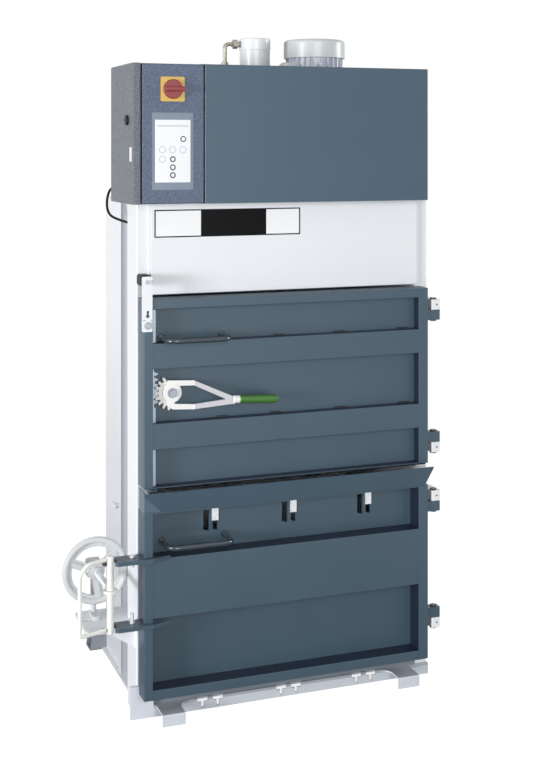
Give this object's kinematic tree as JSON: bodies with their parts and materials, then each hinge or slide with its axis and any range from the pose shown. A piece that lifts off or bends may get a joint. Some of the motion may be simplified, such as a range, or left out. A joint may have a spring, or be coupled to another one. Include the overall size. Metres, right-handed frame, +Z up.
{
  "type": "recycling_baler",
  "caption": "Upright recycling baler: a steel press frame with two hinged front doors, rack lever lock, screw lock with handwheel, switch cabinet, hydraulic cylinder and motor on top.",
  "frame": {"origin": "centre of the underside's bounding box, on the floor", "axes": "+X to the machine's right as seen from the front, +Y to the back, +Z up"},
  "size_m": [1.3444, 0.8554, 2.35],
  "materials": {
    "white_paint": "smooth powder coat, slightly glossy",
    "blue_grey_paint": "smooth powder coat, slightly glossy",
    "hammered_paint": "fine structure paint",
    "zinc": "zinc plated",
    "cream_paint": "smooth gloss paint",
    "green_plastic": "moulded, glossy",
    "dark_steel": "blackened",
    "black_plastic": "moulded, matt",
    "rubber": "cable sheath",
    "label_film": "printed film",
    "keypad_film": "printed film",
    "yellow_plastic": "moulded",
    "red_plastic": "moulded",
    "grey_paint": "gloss paint",
    "dark_paint": "smooth powder coat"
  },
  "bodies": {
    "frame": {"base_plate": "white_paint", "cabinet_body": "hammered_paint", "cable": "rubber", "cable_glands": "black_plastic", "chamber_floor": "white_paint", "corner_plate": "white_paint", "cylinder": "grey_paint", "cylinder_fitting": "zinc", "deck": "white_paint", "fan_cowl": "grey_paint", "foot_bars": "white_paint", "front_panel": "white_paint", "guide_plate": "white_paint", "head_cover": "blue_grey_paint", "hinge_pins": "dark_steel", "hinges_posts": "white_paint", "label_plate": "label_film", "limit_switch": "black_plastic", "lock_keeper": "blue_grey_paint", "motor": "grey_paint", "post_left": "white_paint", "post_right": "white_paint", "rear_crossmember": "white_paint", "rear_wall": "white_paint", "side_wall_left": "white_paint", "side_wall_right": "white_paint", "stop_screw": "zinc", "type_plate": "label_film"},
    "ram": {"ram_plate": "dark_paint", "ram_rod": "zinc"},
    "upper_door": {"upper_door_panel": "blue_grey_paint", "upper_door_frame": "blue_grey_paint", "upper_handle": "blue_grey_paint", "hinges_upper_door": "blue_grey_paint", "lever_pivot": "zinc", "rack_guides": "zinc", "door_tongue": "white_paint", "tongue_screws": "zinc"},
    "lever": {"lever": "cream_paint", "lever_grip": "green_plastic"},
    "rack": {"rack": "zinc"},
    "lower_door": {"lower_door_panel": "blue_grey_paint", "lower_door_frame": "blue_grey_paint", "deflector": "blue_grey_paint", "lower_handle": "blue_grey_paint", "strap_guides": "zinc", "lock_arm_lower": "blue_grey_paint", "lock_arm_upper": "blue_grey_paint", "arm_bolts": "zinc", "hinges_lower_door": "blue_grey_paint"},
    "lock_carrier": {"lock_carrier": "cream_paint"},
    "handwheel": {"handwheel": "cream_paint"},
    "locking_bar": {"locking_bar": "cream_paint"},
    "cabinet_door": {"cabinet_door": "hammered_paint", "keypad": "keypad_film", "switch_plate": "yellow_plastic"},
    "main_switch": {"main_switch": "red_plastic"},
    "cabinet_lock": {"cabinet_lock": "black_plastic"},
    "motor_fan": {"motor_fan": "black_plastic"}
  },
  "joints": [
    {"name": "ram_slide", "type": "slide", "parent": "frame", "child": "ram", "axis": [0, 0, -1], "range_m": [0, 0.62]},
    {"name": "upper_door_swing", "type": "hinge", "parent": "frame", "child": "upper_door", "pos_m": [0.65225, -0.33525, 1.112], "axis": [0, 0, 1], "range_deg": [0, 110]},
    {"name": "lever_turn", "type": "hinge", "parent": "upper_door", "child": "lever", "pos_m": [-0.33875, -0.33525, 1.112], "axis": [0, -1, 0], "range_deg": [0, 30]},
    {"name": "rack_slide", "type": "slide", "parent": "upper_door", "child": "rack", "axis": [0, 0, -1], "range_m": [0, 0.0283]},
    {"name": "lower_door_swing", "type": "hinge", "parent": "frame", "child": "lower_door", "pos_m": [0.65225, -0.33525, 0.4], "axis": [0, 0, 1], "range_deg": [0, 110]},
    {"name": "lock_slide", "type": "slide", "parent": "frame", "child": "lock_carrier", "axis": [1, 0, 0], "range_m": [-0.04, 0.01]},
    {"name": "handwheel_spin", "type": "hinge", "parent": "lock_carrier", "child": "handwheel", "pos_m": [-0.55525, -0.13325, 0.472], "axis": [0, 1, 0], "range_deg": [0, 1044]},
    {"name": "locking_bar_draw", "type": "slide", "parent": "lock_carrier", "child": "locking_bar", "axis": [0, 1, 0], "range_m": [0, 0.01161]},
    {"name": "cabinet_door_swing", "type": "hinge", "parent": "frame", "child": "cabinet_door", "pos_m": [-0.23475, -0.35225, 1.988], "axis": [0, 0, 1], "range_deg": [0, 100]},
    {"name": "main_switch_turn", "type": "hinge", "parent": "cabinet_door", "child": "main_switch", "pos_m": [-0.34225, -0.35825, 2.139], "axis": [0, -1, 0], "range_deg": [-90, 0]},
    {"name": "cabinet_lock_turn", "type": "hinge", "parent": "frame", "child": "cabinet_lock", "pos_m": [-0.47875, -0.28425, 2.035], "axis": [-1, 0, 0], "range_deg": [0, 90]},
    {"name": "motor_fan_spin", "type": "hinge", "parent": "frame", "child": "motor_fan", "pos_m": [0.33075, 0.02475, 2.3], "axis": [0, 0, 1], "continuous": true}
  ],
  "couplings": [
    {"joint": "rack_slide", "follows": "lever_turn", "m_per_rad": 0.054},
    {"joint": "locking_bar_draw", "follows": "handwheel_spin", "m_per_rad": 0.00063662}
  ]
}
